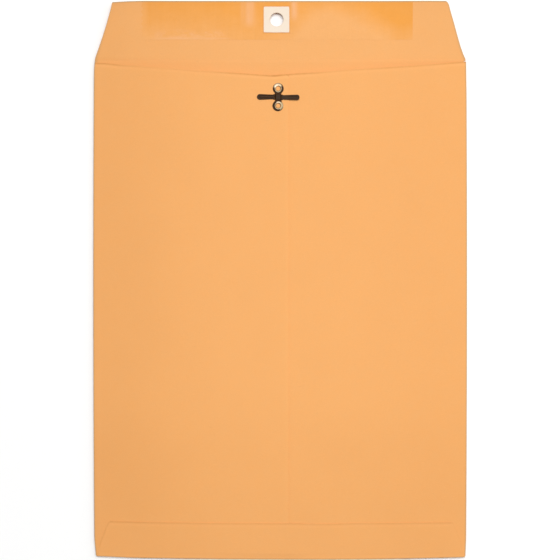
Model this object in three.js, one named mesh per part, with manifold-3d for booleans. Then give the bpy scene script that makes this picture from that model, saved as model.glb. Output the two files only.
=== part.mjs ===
// Kraft paper clasp envelope, 9 x 12 in, lying face down with its seal flap open.
// Units are millimetres, +Z is up, and the origin is on the resting plane below the
// centre of the whole outline. +Y points from the bottom fold to the seal flap.
import * as THREE from 'three';
import { mergeVertices } from 'three/addons/utils/BufferGeometryUtils.js';
import Module from 'manifold-3d';

const wasm = await Module();
wasm.setup();

// ---- driving dimensions -------------------------------------------------------------
const BODY_W = 228.6;            // 9 in, outside width
const BODY_H = 304.8;            // 12 in, bottom fold to the flap's crease
const PAPER = 0.2;               // thickness of every paper layer
const POCKET_GAP = 4.7;          // clear height of the sprung-open pocket
const FOLD_SLIT = 0.12;          // slit left between front and back at the side folds
const FLAT_SIDE = 50.3;          // width of the sloping shoulder along each side fold
const FLAT_BOTTOM = 50;          // length of the sloping shoulder above the bottom fold
const BOTTOM_LOW_X = 22;         // the bottom fold bows a little; its lowest point is here
const BOTTOM_BOW = [1.05, 2.7];  // how fast it rises to the left and to the right of there

const AXIS_OUT = 0.32;           // the rounded fold turns about an axis this far beyond its crease
const FLAP_D = 35.17;            // depth of the seal flap from that axis, at its middle
const FLAP_LIFT_DEG = 5;         // the crease springs the open flap up by this much
const HINGE_Z = 2.95;            // height of the axis that the rounded fold turns about

const THROAT_LEFT = [            // throat edge of the left panel: x, distance below the crease
  [-114.3, 1.95], [-106.4, 2.3], [-97.3, 3.5], [-72.9, 5.25], [-48.5, 7.2], [-24.2, 8.7], [-12, 9.6],
  [-4.6, 10.1], [-2.8, 10.05], [0.8, 9.55], [5.2, 9.2],
];
const THROAT_RIGHT = [           // the same for the right panel
  [-5.6, 9.9], [12.4, 8.7], [30.7, 7.5], [49, 6.1], [73.3, 4.55], [94.7, 2.9], [108.7, 1.55], [114.3, 1.25],
];
const SEAM_TOP_X = 5.2;          // free edge of the left panel, on top in the seam
const SEAM_CORNER_R = 1.2;       // rounded corner where that edge meets the throat
const SEAM_HIDDEN_X = -5.6;      // edge of the right panel, hidden in the seam
const GLUE_SLOT = 0.14;          // room for a glue film between two paper layers
const GLUE_T = 0.06;             // glue film
const GLUE_LOW = 0.04;           // its clearance to the layer below

const BOTTOM_FLAP_H = 21.5;      // depth of the glued bottom flap
const HOLE_D = 8.2;              // punched hole in the flap
const HOLE_X = -2.09;
const HOLE_AT = 23.9;            // from the axis to the hole's centre, along the flap
const PATCH = 15.65;             // square reinforcement around the hole
const PATCH_X = -2.2;
const PATCH_AT = 23.95;
const PATCH_T = 0.15;
const GUM_X = [-84.3, 81.0];
const GUM_AT = [11.7, 34.75];
const GUM_T = 0.05;
const SKIN_GAP = 0.05;           // clearance under the gum and the patch

const CLASP_X = -1.21;           // centre of the clasp
const CLASP_BELOW = 23.4;        // its distance below the crease
const EYELET_PITCH = 10.45;      // between the two eyelet centres
const EYELET_BORE_R = 1.45;
const DISC_R = 1.36;             // paper disc that each eyelet cuts out and keeps in its bore
const EYELET_TUBE_R = 1.62;
const EYELET_RIM_R = 2.78;
const LOBE_R = 3.3;
const CLASP_SHEET = 0.25;        // base plate
const HUB_HALF_X = 1.72;
const HUB_HALF_Y = 2.15;
const HUB_TOP = 0.68;            // above the underside of the base plate
const PRONG_HINGE_X = 2.2;       // bend line of each prong from the clasp's centre
const PRONG_T = 0.3;
const PRONG_NECK = 2.5;          // width at the neck
const PRONG_W = [3.6, 2.9];      // width near the rounded end, of the left and the right one
const PRONG_LEFT_L = 12.9;       // clasp centre to prong end
const PRONG_RIGHT_L = 12.95;
const PRONG_BARREL_R = 0.28;
const PRONG_RIGHT_LIFT_DEG = 2;

// ---- derived ------------------------------------------------------------------------
const lift = THREE.MathUtils.degToRad(FLAP_LIFT_DEG);
const FLAP_OUT = AXIS_OUT + FLAP_D * Math.cos(lift) + HINGE_Z * Math.sin(lift);
const FOLD_Y = (BODY_H - FLAP_OUT) / 2;      // centres the outline on the origin
const AXIS_Y = FOLD_Y + AXIS_OUT;
const BOTTOM_Y = FOLD_Y - BODY_H;
const HALF_W = BODY_W / 2;
const MID = PAPER + POCKET_GAP / 2;          // mid-plane between front and back
const BACK_Z = 2 * MID - PAPER;              // underside of the back panels on the plateau
const JOG = PAPER + GLUE_SLOT;               // step of the top layer over the seam
const CLASP_Y = FOLD_Y - CLASP_BELOW;
const CLASP_Z = BACK_Z + PAPER + JOG + 0.03; // underside of the clasp's base plate

// 0 at the side and bottom folds, 1 over the flat middle of each panel
function swell(x, y) {
  const u = Math.min(1, Math.max(0, (HALF_W - Math.abs(x)) / FLAT_SIDE));
  const v = Math.min(1, Math.max(0, (y - bottomY(x)) / FLAT_BOTTOM));
  return Math.sin(u * Math.PI / 2) * Math.sin(v * Math.PI / 2);
}
function bottomY(x) {
  const u = (x - BOTTOM_LOW_X) / HALF_W;
  return BOTTOM_Y + BOTTOM_BOW[u < 0 ? 0 : 1] * u * u;
}
const frontZ = (x, y) => (1 - swell(x, y)) * (MID - PAPER - FOLD_SLIT / 2);
const backZ = (x, y) => 2 * MID - frontZ(x, y) - PAPER;      // underside

// step of the left panel over the right one, and of the bottom flap over that step
const stepped = (x, a, b) => JOG * Math.min(1, Math.max(0, (x - a) / (b - a)));
const seamStep = (x) => stepped(x, -8, -6.2);
const bottomStep = (x) => Math.min(stepped(x, -9.4, -7.6), stepped(-x, -7.6, -5.8));

const X_LINES = [-HALF_W, -104, -92, -78, -(HALF_W - FLAT_SIDE), -40, -20, -9.4, -8, -7.6,
  -6.2, SEAM_HIDDEN_X, SEAM_TOP_X, 5.8, 7.6, 20, 40, HALF_W - FLAT_SIDE, 78, 92, 104, HALF_W];
const Y_RISE = [0, 10, 22, 36, FLAT_BOTTOM];

// ---- geometry helpers ---------------------------------------------------------------
// Closed sheet over a grid of [x, y] points, rows running up in y: zLow gives the
// underside and t the thickness.
function sheet(rows, zLow, t) {
  const n = rows.length, m = rows[0].length;
  const pos = [];
  for (const dz of [0, t]) {
    for (const row of rows) for (const [x, y] of row) pos.push(x, y, zLow(x, y) + dz);
  }
  const id = (k, j, i) => k * n * m + j * m + i;
  const idx = [];
  for (let j = 0; j + 1 < n; j++) {
    for (let i = 0; i + 1 < m; i++) {
      idx.push(id(1, j, i), id(1, j, i + 1), id(1, j + 1, i + 1));
      idx.push(id(1, j, i), id(1, j + 1, i + 1), id(1, j + 1, i));
      idx.push(id(0, j, i), id(0, j + 1, i + 1), id(0, j, i + 1));
      idx.push(id(0, j, i), id(0, j + 1, i), id(0, j + 1, i + 1));
    }
  }
  const wall = (a, b) => idx.push(id(0, ...a), id(0, ...b), id(1, ...b), id(0, ...a), id(1, ...b), id(1, ...a));
  for (let i = 0; i + 1 < m; i++) {
    wall([0, i], [0, i + 1]);
    wall([n - 1, i + 1], [n - 1, i]);
  }
  for (let j = 0; j + 1 < n; j++) {
    wall([j, m - 1], [j + 1, m - 1]);
    wall([j + 1, 0], [j, 0]);
  }
  const g = new THREE.BufferGeometry();
  g.setAttribute('position', new THREE.Float32BufferAttribute(pos, 3));
  g.setIndex(idx);
  return g;
}

function toManifold(geometry) {
  const g = geometry.clone();
  g.deleteAttribute('normal');
  g.deleteAttribute('uv');
  const merged = mergeVertices(g, 1e-5);
  return new wasm.Manifold(new wasm.Mesh({
    numProp: 3,
    vertProperties: new Float32Array(merged.attributes.position.array),
    triVerts: new Uint32Array(merged.index.array),
  }));
}

function fromManifold(solid) {
  const mesh = solid.getMesh();
  const g = new THREE.BufferGeometry();
  g.setAttribute('position', new THREE.BufferAttribute(new Float32Array(mesh.vertProperties), 3));
  g.setIndex(new THREE.BufferAttribute(new Uint32Array(mesh.triVerts), 1));
  return g;
}

function upright(radius, z0, z1, x, y, sides = 32) {
  const g = new THREE.CylinderGeometry(radius, radius, z1 - z0, sides);
  g.rotateX(Math.PI / 2);
  g.translate(x, y, (z0 + z1) / 2);
  return g;
}

function cut(geometry, ...tools) {
  let solid = toManifold(geometry);
  for (const tool of tools) solid = solid.subtract(toManifold(tool));
  return fromManifold(solid);
}

function join(...pieces) {
  let solid = toManifold(pieces[0]);
  for (const piece of pieces.slice(1)) solid = solid.add(toManifold(piece));
  return fromManifold(solid);
}

// ---- materials ----------------------------------------------------------------------
const kraft = () => new THREE.MeshStandardMaterial({ color: 0xf6b16c, roughness: 0.85, metalness: 0 });
const gum = new THREE.MeshStandardMaterial({ color: 0xe79a4a, roughness: 0.35, metalness: 0 });
const glue = () => new THREE.MeshStandardMaterial({ color: 0xd9c9a0, roughness: 0.4, metalness: 0 });
const cream = new THREE.MeshStandardMaterial({ color: 0xfbe9d6, roughness: 0.8, metalness: 0 });
const bronze = () => new THREE.MeshStandardMaterial({ color: 0x44301e, roughness: 0.35, metalness: 1 });
const brass = () => new THREE.MeshStandardMaterial({ color: 0xd9c08a, roughness: 0.25, metalness: 1 });

const envelope = new THREE.Group();
function piece(name, geometry, material, parent = envelope) {
  const mesh = new THREE.Mesh(geometry, material);
  mesh.name = name;
  parent.add(mesh);
  return mesh;
}

// ---- paper panels -------------------------------------------------------------------
const rise = (x) => Y_RISE.map((d) => bottomY(x) + d);

// Front panel: pinched in slightly where the flap's slanted sides begin.
{
  const rows = [];
  for (let r = 0; r < Y_RISE.length; r++) rows.push(X_LINES.map((x) => [x, rise(x)[r]]));
  rows.push(X_LINES.map((x) => [x, FOLD_Y - 5]));
  rows.push(X_LINES.map((x) => [Math.min(113.1, Math.max(-112.7, x)), AXIS_Y]));
  piece('front_panel', sheet(rows, frontZ, PAPER), kraft());
}

const eyeletHoles = () => [-1, 1].map((s) => upright(1.8, BACK_Z - 2, BACK_Z + 3, CLASP_X, CLASP_Y + s * EYELET_PITCH / 2, 24));

function throat(x, line) {
  const i = Math.max(1, line.findIndex(([a], k) => k > 0 && x <= a));
  const [[x0, d0], [x1, d1]] = [line[i - 1], line[i]];
  return FOLD_Y - (d0 + (d1 - d0) * (x - x0) / (x1 - x0));
}

// Left back panel: runs up over the right one and ends in the free seam edge.
{
  const lines = [...X_LINES.filter((x) => x < SEAM_TOP_X), -50, -24.2, -12, -4.6, -2.8, 0.8, 4, 4.9, SEAM_TOP_X].sort((a, b) => a - b);
  const round = (x) => {
    const u = Math.min(1, Math.max(0, x - (SEAM_TOP_X - SEAM_CORNER_R)) / SEAM_CORNER_R);
    return SEAM_CORNER_R * (1 - Math.sqrt(1 - u * u));
  };
  const rows = [];
  for (let r = 0; r < Y_RISE.length; r++) rows.push(lines.map((x) => [x, rise(x)[r]]));
  rows.push(lines.map((x) => [x, 118]));
  rows.push(lines.map((x) => [Math.max(-113.3, x), throat(x, THROAT_LEFT) - round(x)]));
  const g = sheet(rows, (x, y) => backZ(x, y) + seamStep(x), PAPER);
  piece('back_panel_left', cut(g, ...eyeletHoles()), kraft());
}

// Right back panel: its inner edge is hidden under the left one.
{
  const lines = X_LINES.filter((x) => x >= SEAM_HIDDEN_X);
  const rows = [];
  for (let r = 0; r < Y_RISE.length; r++) rows.push(lines.map((x) => [x, rise(x)[r]]));
  rows.push(lines.map((x) => [x, 118]));
  rows.push(lines.map((x) => [Math.min(113.7, x), throat(x, THROAT_RIGHT)]));
  const g = sheet(rows, backZ, PAPER);
  piece('back_panel_right', cut(g, ...eyeletHoles()), kraft());
}

// Glue film in the seam, between the two layers, stopping short of the bottom flap's
// fold and of the throat.
{
  const lines = [-5.0, 4.6];
  const rows = Y_RISE.map((d, r) => lines.map((x) => [x, bottomY(0) + (r === 0 ? 1 : d)]));
  rows.push(lines.map((x) => [x, FOLD_Y - 13.2]));
  const g = sheet(rows, (x, y) => backZ(0, y) + PAPER + GLUE_LOW, GLUE_T);
  piece('seam_glue', cut(g, ...eyeletHoles()), glue());
}

// Bottom flap and its glue, draped over the seam's step.
{
  const wanted = X_LINES.filter((x) => Math.abs(x) < 103);
  // the ends lean in: left and right end of each row
  const ends = [[-113.2, 113.2], [-109.3, 110.0], [-106.6, 107.4], [-103.6, 105.4]];
  const rows = [0.4, 9, 16.5, BOTTOM_FLAP_H].map((d, r) => {
    const [a, b] = ends[r];
    return [a, ...wanted, b].map((x) => [x, bottomY(x) + d]);
  });
  const low = (x, y) => backZ(x, y) + PAPER + bottomStep(x);
  piece('bottom_flap', sheet(rows, (x, y) => low(x, y) + GLUE_SLOT, PAPER), kraft());
  const lines = wanted.filter((x) => Math.abs(x) < 93);
  const band = [4, 10, 18.6].map((d) => lines.map((x) => [x, bottomY(x) + d]));
  piece('bottom_flap_glue', sheet(band, (x, y) => low(x, y) + GLUE_LOW, GLUE_T), glue());
}

// ---- seal flap, in its own group turned about the fold --------------------------------
// In the group, y and z are measured from the hinge axis.
const flap = new THREE.Group();
flap.position.set(0, AXIS_Y, HINGE_Z);
flap.rotation.x = lift;
envelope.add(flap);

const flapZ = (x) => (1 - Math.sin(Math.min(1, Math.max(0, (HALF_W - Math.abs(x)) / FLAT_SIDE)) * Math.PI / 2))
  * (MID - PAPER - FOLD_SLIT / 2) - HINGE_Z;
const flapHole = () => upright(HOLE_D / 2, -HINGE_Z - 3, -HINGE_Z + 4, HOLE_X, HOLE_AT, 32);
{
  const wanted = X_LINES.filter((x) => Math.abs(x) < 100 && (Math.abs(x) >= 20));
  const lines = [...wanted.filter((x) => x < 0), 0, ...wanted.filter((x) => x > 0)];
  const ends = [[-0.2, -112.7, 113.1], [12, -109.1, 109.8], [24, -105.4, 106.2], [33.4, -102.5, 103.2]];
  // the first row keeps a hair's breadth from the front panel's edge
  const start = (x) => (0.06 + (flapZ(x) + PAPER) * Math.sin(lift)) / Math.cos(lift);
  const rows = ends.map(([d, a, b], r) => [a, ...lines, b].map((x) => [x, r === 0 ? start(x) : d]));
  const topEdge = (x) => FLAP_D - 0.9 * Math.max(0, (-x - 80) / 22) ** 2 - 0.15 * Math.max(0, (x - 80) / 22) ** 2;
  rows.push([-102.0, ...lines, 102.4].map((x) => [x, topEdge(x)]));
  piece('seal_flap', cut(sheet(rows, flapZ, PAPER), flapHole()), kraft(), flap);
}

// Dried gum on the inside of the flap, left open where the patch sits.
{
  const lines = [GUM_X[0], -78, -(HALF_W - FLAT_SIDE), HALF_W - FLAT_SIDE, 78, GUM_X[1]];
  const rows = GUM_AT.map((d) => lines.map((x) => [x, d]));
  const window = new THREE.BoxGeometry(PATCH + 0.3, PATCH + 0.3, 4);
  window.translate(PATCH_X, PATCH_AT, -HINGE_Z);
  piece('flap_gum_strip', cut(sheet(rows, (x) => flapZ(x) + PAPER + SKIN_GAP, GUM_T), window), gum, flap);
}

// Square reinforcement with the same hole.
{
  const g = new THREE.BoxGeometry(PATCH, PATCH, PATCH_T);
  g.translate(PATCH_X, PATCH_AT, -HINGE_Z + PAPER + SKIN_GAP + PATCH_T / 2);
  piece('hole_patch', cut(g, flapHole()), cream, flap);
}

// ---- clasp --------------------------------------------------------------------------
const clasp = new THREE.Group();
clasp.position.set(CLASP_X, CLASP_Y, CLASP_Z);
envelope.add(clasp);

// Base plate: two round lobes and waisted arms to a raised hub.
{
  const half = EYELET_PITCH / 2;
  const shape = new THREE.Shape();
  const a0 = -Math.PI / 2 + 0.42;             // where an arm leaves its lobe
  shape.moveTo(HUB_HALF_X, -1.5);
  shape.lineTo(HUB_HALF_X, 1.5);
  shape.lineTo(LOBE_R * Math.cos(a0), half + LOBE_R * Math.sin(a0));
  shape.absarc(0, half, LOBE_R, a0, Math.PI - a0, false);
  shape.lineTo(-HUB_HALF_X, 1.5);
  shape.lineTo(-HUB_HALF_X, -1.5);
  shape.lineTo(-LOBE_R * Math.cos(a0), -half - LOBE_R * Math.sin(a0));
  shape.absarc(0, -half, LOBE_R, Math.PI + a0, -a0, false);
  shape.closePath();
  const plate = new THREE.ExtrudeGeometry(shape, { depth: CLASP_SHEET, bevelEnabled: false, curveSegments: 24 });
  const hubShape = new THREE.Shape();
  const c = 0.55;
  hubShape.moveTo(-HUB_HALF_X + c, -HUB_HALF_Y);
  hubShape.lineTo(HUB_HALF_X - c, -HUB_HALF_Y);
  hubShape.lineTo(HUB_HALF_X, -HUB_HALF_Y + c);
  hubShape.lineTo(HUB_HALF_X, HUB_HALF_Y - c);
  hubShape.lineTo(HUB_HALF_X - c, HUB_HALF_Y);
  hubShape.lineTo(-HUB_HALF_X + c, HUB_HALF_Y);
  hubShape.lineTo(-HUB_HALF_X, HUB_HALF_Y - c);
  hubShape.lineTo(-HUB_HALF_X, -HUB_HALF_Y + c);
  hubShape.closePath();
  const hub = new THREE.ExtrudeGeometry(hubShape, {
    depth: HUB_TOP - 0.2, bevelEnabled: true, bevelThickness: 0.1, bevelSize: 0.1, bevelOffset: -0.1, bevelSegments: 1,
  });
  hub.translate(0, 0, 0.1);
  const bores = [-1, 1].map((s) => upright(1.8, -1, 1, 0, s * half, 24));
  piece('clasp_base', cut(join(plate, hub), ...bores), bronze(), clasp);
}

// Eyelets: a rolled rim on the plate, a tube through both layers and a clinch inside.
{
  const top = CLASP_SHEET + 0.03;
  const under = BACK_Z - CLASP_Z - 0.03;      // just below the inner paper layer
  const profile = [
    [EYELET_BORE_R, under - 0.05], [EYELET_BORE_R, top - 0.05], [1.6, top + 0.16], [1.95, top + 0.27],
    [2.35, top + 0.22], [EYELET_RIM_R, top], [EYELET_TUBE_R, top],
    [EYELET_TUBE_R, under], [2.5, under], [2.6, under - 0.09], [2.4, under - 0.18], [1.75, under - 0.18],
    [EYELET_BORE_R, under - 0.05],
  ].reverse().map(([r, z]) => new THREE.Vector2(r, z));
  for (const [name, s] of [['clasp_eyelet_upper', 1], ['clasp_eyelet_lower', -1]]) {
    const g = new THREE.LatheGeometry(profile, 24);
    g.rotateX(Math.PI / 2);
    g.translate(0, s * EYELET_PITCH / 2, 0);
    piece(name, fromManifold(toManifold(g)), brass(), clasp);
  }
}

// Paper discs of both layers, cut by the eyelets' tubes and held in their bores.
for (const [name, s] of [['paper_disc_upper', 1], ['paper_disc_lower', -1]]) {
  const g = upright(DISC_R, BACK_Z + 0.05 - CLASP_Z, BACK_Z + PAPER + JOG - 0.02 - CLASP_Z, 0, s * EYELET_PITCH / 2, 24);
  piece(name, fromManifold(toManifold(g)), kraft(), clasp);
}

// Prongs: flat blades that bend up at a line beside the hub. Each is drawn pointing
// along +X from its bend line, and the left one is mirrored by a half turn.
function prong(length, width) {
  const l = length - PRONG_HINGE_X, r = width / 2;
  const s = new THREE.Shape();
  s.moveTo(0, -1.7);
  s.lineTo(0.62, -1.62);
  s.lineTo(1.1, -PRONG_NECK / 2);
  s.lineTo(3.2, -PRONG_NECK / 2);
  s.lineTo(l - r - 1, -r);
  s.lineTo(l - r, -r);
  s.absarc(l - r, 0, r, -Math.PI / 2, Math.PI / 2, false);
  s.lineTo(l - r - 1, r);
  s.lineTo(3.2, PRONG_NECK / 2);
  s.lineTo(1.1, PRONG_NECK / 2);
  s.lineTo(0.62, 1.62);
  s.lineTo(0, 1.7);
  s.closePath();
  const blade = new THREE.ExtrudeGeometry(s, { depth: PRONG_T, bevelEnabled: false, curveSegments: 10 });
  blade.translate(0, 0, -PRONG_T / 2);
  const barrel = new THREE.CylinderGeometry(PRONG_BARREL_R, PRONG_BARREL_R, 3.4, 12);
  return join(blade, barrel);
}
for (const [name, side, length, tilt, dy] of [
  ['clasp_prong_left', -1, PRONG_LEFT_L, 0, 0.15],
  ['clasp_prong_right', 1, PRONG_RIGHT_L, PRONG_RIGHT_LIFT_DEG, -0.15],
]) {
  const turn = new THREE.Group();
  turn.position.set(side * PRONG_HINGE_X, dy, PRONG_BARREL_R + 0.02);
  turn.rotation.set(0, 0, side < 0 ? Math.PI : 0);
  clasp.add(turn);
  const mesh = piece(name, prong(length, PRONG_W[side < 0 ? 0 : 1]), bronze(), turn);
  mesh.rotation.y = -THREE.MathUtils.degToRad(tilt);
}

export default envelope;
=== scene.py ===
import math

import bmesh
import bpy
import numpy as np
from mathutils import Matrix, Vector


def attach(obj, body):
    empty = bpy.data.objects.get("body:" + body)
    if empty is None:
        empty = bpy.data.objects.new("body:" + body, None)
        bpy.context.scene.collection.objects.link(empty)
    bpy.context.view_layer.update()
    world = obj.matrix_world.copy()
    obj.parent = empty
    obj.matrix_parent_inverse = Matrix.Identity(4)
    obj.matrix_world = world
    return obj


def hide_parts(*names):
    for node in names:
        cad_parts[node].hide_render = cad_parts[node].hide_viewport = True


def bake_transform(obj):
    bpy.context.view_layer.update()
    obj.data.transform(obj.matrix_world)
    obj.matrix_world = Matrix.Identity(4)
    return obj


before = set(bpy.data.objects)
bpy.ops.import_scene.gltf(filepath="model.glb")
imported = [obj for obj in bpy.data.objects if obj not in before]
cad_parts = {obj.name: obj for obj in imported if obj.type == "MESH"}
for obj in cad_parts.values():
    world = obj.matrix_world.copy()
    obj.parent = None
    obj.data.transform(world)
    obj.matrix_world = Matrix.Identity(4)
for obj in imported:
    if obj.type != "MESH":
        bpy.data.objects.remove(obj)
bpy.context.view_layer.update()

# Kraft clasp envelope, face down, flap open. Lengths in the shape code are millimetres;
# meshes are made in metres.
HALF_W = 114.3
FLAP_D = 35.17                   # from the hinge axis
LIFT = math.radians(5)
AXIS_Z, AXIS_OUT = 2.95, 0.32    # the flap's hinge axis: its height, and how far it lies beyond the crease
FOLD_Y = (304.8 - (AXIS_OUT + FLAP_D * math.cos(LIFT) + AXIS_Z * math.sin(LIFT))) / 2     # the crease
AXIS_Y = FOLD_Y + AXIS_OUT
BOTTOM_Y = FOLD_Y - 305.5
PAPER = 0.2
RAISE = 2.29                     # how far the folds stand above the resting plane
JOG = 0.34                       # step of the seam
CLASP_X, CLASP_Y, CLASP_Z = -1.21, FOLD_Y - 23.4, 5.47
PITCH = 5.225                    # clasp centre to eyelet centre
HOLE_X, HOLE_D, HOLE_R = -2.09, 23.9, 4.15
PATCH_X, PATCH_D, PATCH_S = -2.2, 23.95, 15.65
START_Y, END_Y = AXIS_Y - 0.9, AXIS_Y + 1.7      # the flap bends between these


# ---- small maths ---------------------------------------------------------------------
def sstep(a, b, x):
    t = np.clip((np.asarray(x, float) - a) / (b - a), 0, 1)
    return t * t * (3 - 2 * t)


def bump(x, c, w):
    return np.exp(-((np.asarray(x, float) - c) / w) ** 2)


def bottom_y(x):
    u = (np.asarray(x, float) - 22) / HALF_W
    return BOTTOM_Y + np.where(u < 0, 1.05, 2.15) * u * u + 0.5 * sstep(-88, -113, x)


def shoulder(x):
    return np.sin(np.clip((HALF_W - np.abs(x)) / 50.3, 0, 1) * math.pi / 2)


def front_z(x, y):
    v = np.clip((y - bottom_y(x)) / 50, 0, 1)
    return (1 - shoulder(x) * np.sin(v * math.pi / 2)) * RAISE


def waves(x, y):
    """Slight unevenness of the back panels, nothing at folds, seam, clasp and bottom flap."""
    w = (0.10 * np.sin(x / 13.8 + 0.6) * np.sin(y / 22.4 + 1.1)
         + 0.07 * np.sin((x + 0.6 * y) / 10.0 + 2.0) + 0.05 * np.sin((0.8 * x - y) / 7.8))
    keep = (sstep(2, 34, HALF_W - np.abs(x)) * sstep(24, 64, y - bottom_y(x)) * sstep(8, 26, np.abs(x))
            * (1 - 0.7 * sstep(108, 124, y)))
    return w * keep


def side(x, y):
    """Half width of the body at y, on the side that x is on: a slight barrel, pinched at its ends."""
    left = 114.14 - 0.6 * (y / 150) ** 2 - 0.85 * sstep(-156, -170.2, y) - 0.42 * sstep(127, 135, y)
    right = 114.13 - 0.45 * (y / 150) ** 2 - 0.38 * sstep(-156, -170.2, y) - 0.17 * sstep(112, 135, y)
    return np.where(x < 0, left, right)


def warp(p):
    q = p.copy()
    q[..., 0] = p[..., 0] * side(p[..., 0], p[..., 1]) / HALF_W
    return q


def spread(a, b, step):
    n = max(1, int(math.ceil(abs(b - a) / step)))
    return np.linspace(a, b, n + 1)


def joined(*parts):
    out = list(parts[0])
    for part in parts[1:]:
        out += [v for v in part if abs(v - out[-1]) > 1e-6]
    return np.array(out)


# ---- mesh helpers --------------------------------------------------------------------
def new_object(name, verts, faces, sharp_deg=35):
    mesh = bpy.data.meshes.new(name)
    mesh.from_pydata((np.asarray(verts) * 0.001).tolist(), [], faces)
    mesh.validate()
    bm = bmesh.new()
    bm.from_mesh(mesh)
    bmesh.ops.recalc_face_normals(bm, faces=bm.faces)
    bm.to_mesh(mesh)
    bm.free()
    obj = bpy.data.objects.new(name, mesh)
    bpy.context.scene.collection.objects.link(obj)
    finish_mesh(obj, sharp_deg)
    return obj


def finish_mesh(obj, sharp_deg=35):
    obj.data.shade_smooth()
    obj.data.set_sharp_from_angle(angle=math.radians(sharp_deg))


def thick_sheet(name, centre, t=PAPER, keep=None):
    """Closed sheet of paper around a grid of centre points. keep marks the cells that exist."""
    n, m = centre.shape[:2]
    du, dv = np.gradient(centre, axis=1), np.gradient(centre, axis=0)
    nrm = np.cross(du, dv)
    nrm /= np.linalg.norm(nrm, axis=2, keepdims=True)
    verts = np.concatenate([(centre + nrm * t / 2).reshape(-1, 3), (centre - nrm * t / 2).reshape(-1, 3)])
    low = n * m
    if keep is None:
        keep = np.ones((n - 1, m - 1), bool)
    faces = []

    def there(j, i):
        return 0 <= j < n - 1 and 0 <= i < m - 1 and keep[j, i]

    for j in range(n - 1):
        for i in range(m - 1):
            if not keep[j, i]:
                continue
            a, b, c, d = j * m + i, j * m + i + 1, (j + 1) * m + i + 1, (j + 1) * m + i
            faces.append((a, b, c, d))
            faces.append((d + low, c + low, b + low, a + low))
            if not there(j - 1, i):
                faces.append((b, a, a + low, b + low))
            if not there(j + 1, i):
                faces.append((d, c, c + low, d + low))
            if not there(j, i - 1):
                faces.append((a, d, d + low, a + low))
            if not there(j, i + 1):
                faces.append((c, b, b + low, c + low))
    used = sorted({v for f in faces for v in f})
    if len(used) < len(verts):
        index = {v: k for k, v in enumerate(used)}
        faces = [tuple(index[v] for v in f) for f in faces]
        verts = verts[used]
    return new_object(name, verts, faces)


def loft(name, rings, sharp_deg=40):
    """Closed solid through rings of the same number of points, capped by fans."""
    rings = np.asarray(rings, float)
    n, m = rings.shape[:2]
    verts = np.concatenate([rings.reshape(-1, 3), [rings[0].mean(0)], [rings[-1].mean(0)]])
    faces = []
    for j in range(n - 1):
        for i in range(m):
            k = (i + 1) % m
            faces.append((j * m + i, j * m + k, (j + 1) * m + k, (j + 1) * m + i))
    for i in range(m):
        k = (i + 1) % m
        faces.append((n * m, k, i))
        faces.append((n * m + 1, (n - 1) * m + i, (n - 1) * m + k))
    return new_object(name, verts, faces, sharp_deg)


def lathe(name, profile, centre, segments=72, shift=(0, 0), r0=0, r1=1, sharp_deg=40, closed=True):
    """Turned piece. Beyond r0 the rim moves sideways, by shift at r1."""
    prof = np.asarray(profile, float)
    ang = np.linspace(0, 2 * math.pi, segments, endpoint=False)
    verts = []
    for r, z in prof:
        f = np.clip((r - r0) / (r1 - r0), 0, 1)
        for a in ang:
            verts.append((centre[0] + r * math.cos(a) + shift[0] * f, centre[1] + r * math.sin(a) + shift[1] * f, centre[2] + z))
    n, faces = len(prof), []
    for j in range(n if closed else n - 1):
        for i in range(segments):
            k, q = (i + 1) % segments, (j + 1) % n
            faces.append((j * segments + i, j * segments + k, q * segments + k, q * segments + i))
    if not closed:
        for j, flip in ((0, True), (n - 1, False)):
            ring = [j * segments + i for i in range(segments)]
            faces.append(tuple(ring[::-1] if flip else ring))
    return new_object(name, np.array(verts), faces, sharp_deg)


def drill(obj, points, radius, sides, axis=(0, 0, 1), length=6):
    """Cuts round holes through obj."""
    for k, (x, y, z) in enumerate(points):
        bm = bmesh.new()
        bmesh.ops.create_cone(bm, cap_ends=True, segments=sides, radius1=radius * 1e-3, radius2=radius * 1e-3, depth=length * 1e-3)
        mesh = bpy.data.meshes.new("drill")
        bm.to_mesh(mesh)
        bm.free()
        tool = bpy.data.objects.new("drill", mesh)
        bpy.context.scene.collection.objects.link(tool)
        turn = Vector((0, 0, 1)).rotation_difference(Vector(axis)).to_matrix().to_4x4()
        tool.data.transform(turn)
        tool.data.transform(Matrix.Translation(Vector((x, y, z)) * 1e-3))
        mod = obj.modifiers.new("hole", "BOOLEAN")
        mod.operation, mod.solver, mod.object = "DIFFERENCE", "EXACT", tool
        bpy.context.view_layer.update()
        deps = bpy.context.evaluated_depsgraph_get()
        result = bpy.data.meshes.new_from_object(obj.evaluated_get(deps))
        obj.modifiers.clear()
        old = obj.data
        obj.data = result
        result.name = obj.name
        bpy.data.meshes.remove(old)
        bpy.data.objects.remove(tool)
        bpy.data.meshes.remove(mesh)
    finish_mesh(obj)


def store(obj, name, values):
    """Point attribute, a vector in metres or a plain number."""
    values = np.asarray(values, np.float32)
    kind = "FLOAT_VECTOR" if values.ndim == 2 else "FLOAT"
    a = obj.data.attributes.new(name, kind, "POINT")
    a.data.foreach_set("vector" if kind == "FLOAT_VECTOR" else "value", values.ravel())


def coords(obj):
    co = np.zeros(len(obj.data.vertices) * 3, np.float32)
    obj.data.vertices.foreach_get("co", co)
    return co.reshape(-1, 3).astype(float)


def place(obj, body, material, nodes):
    store(obj, "rest_place", coords(obj))
    obj.data.materials.clear()
    obj.data.materials.append(material)
    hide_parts(*nodes)
    if body:
        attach(obj, body)
    return obj


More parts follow.
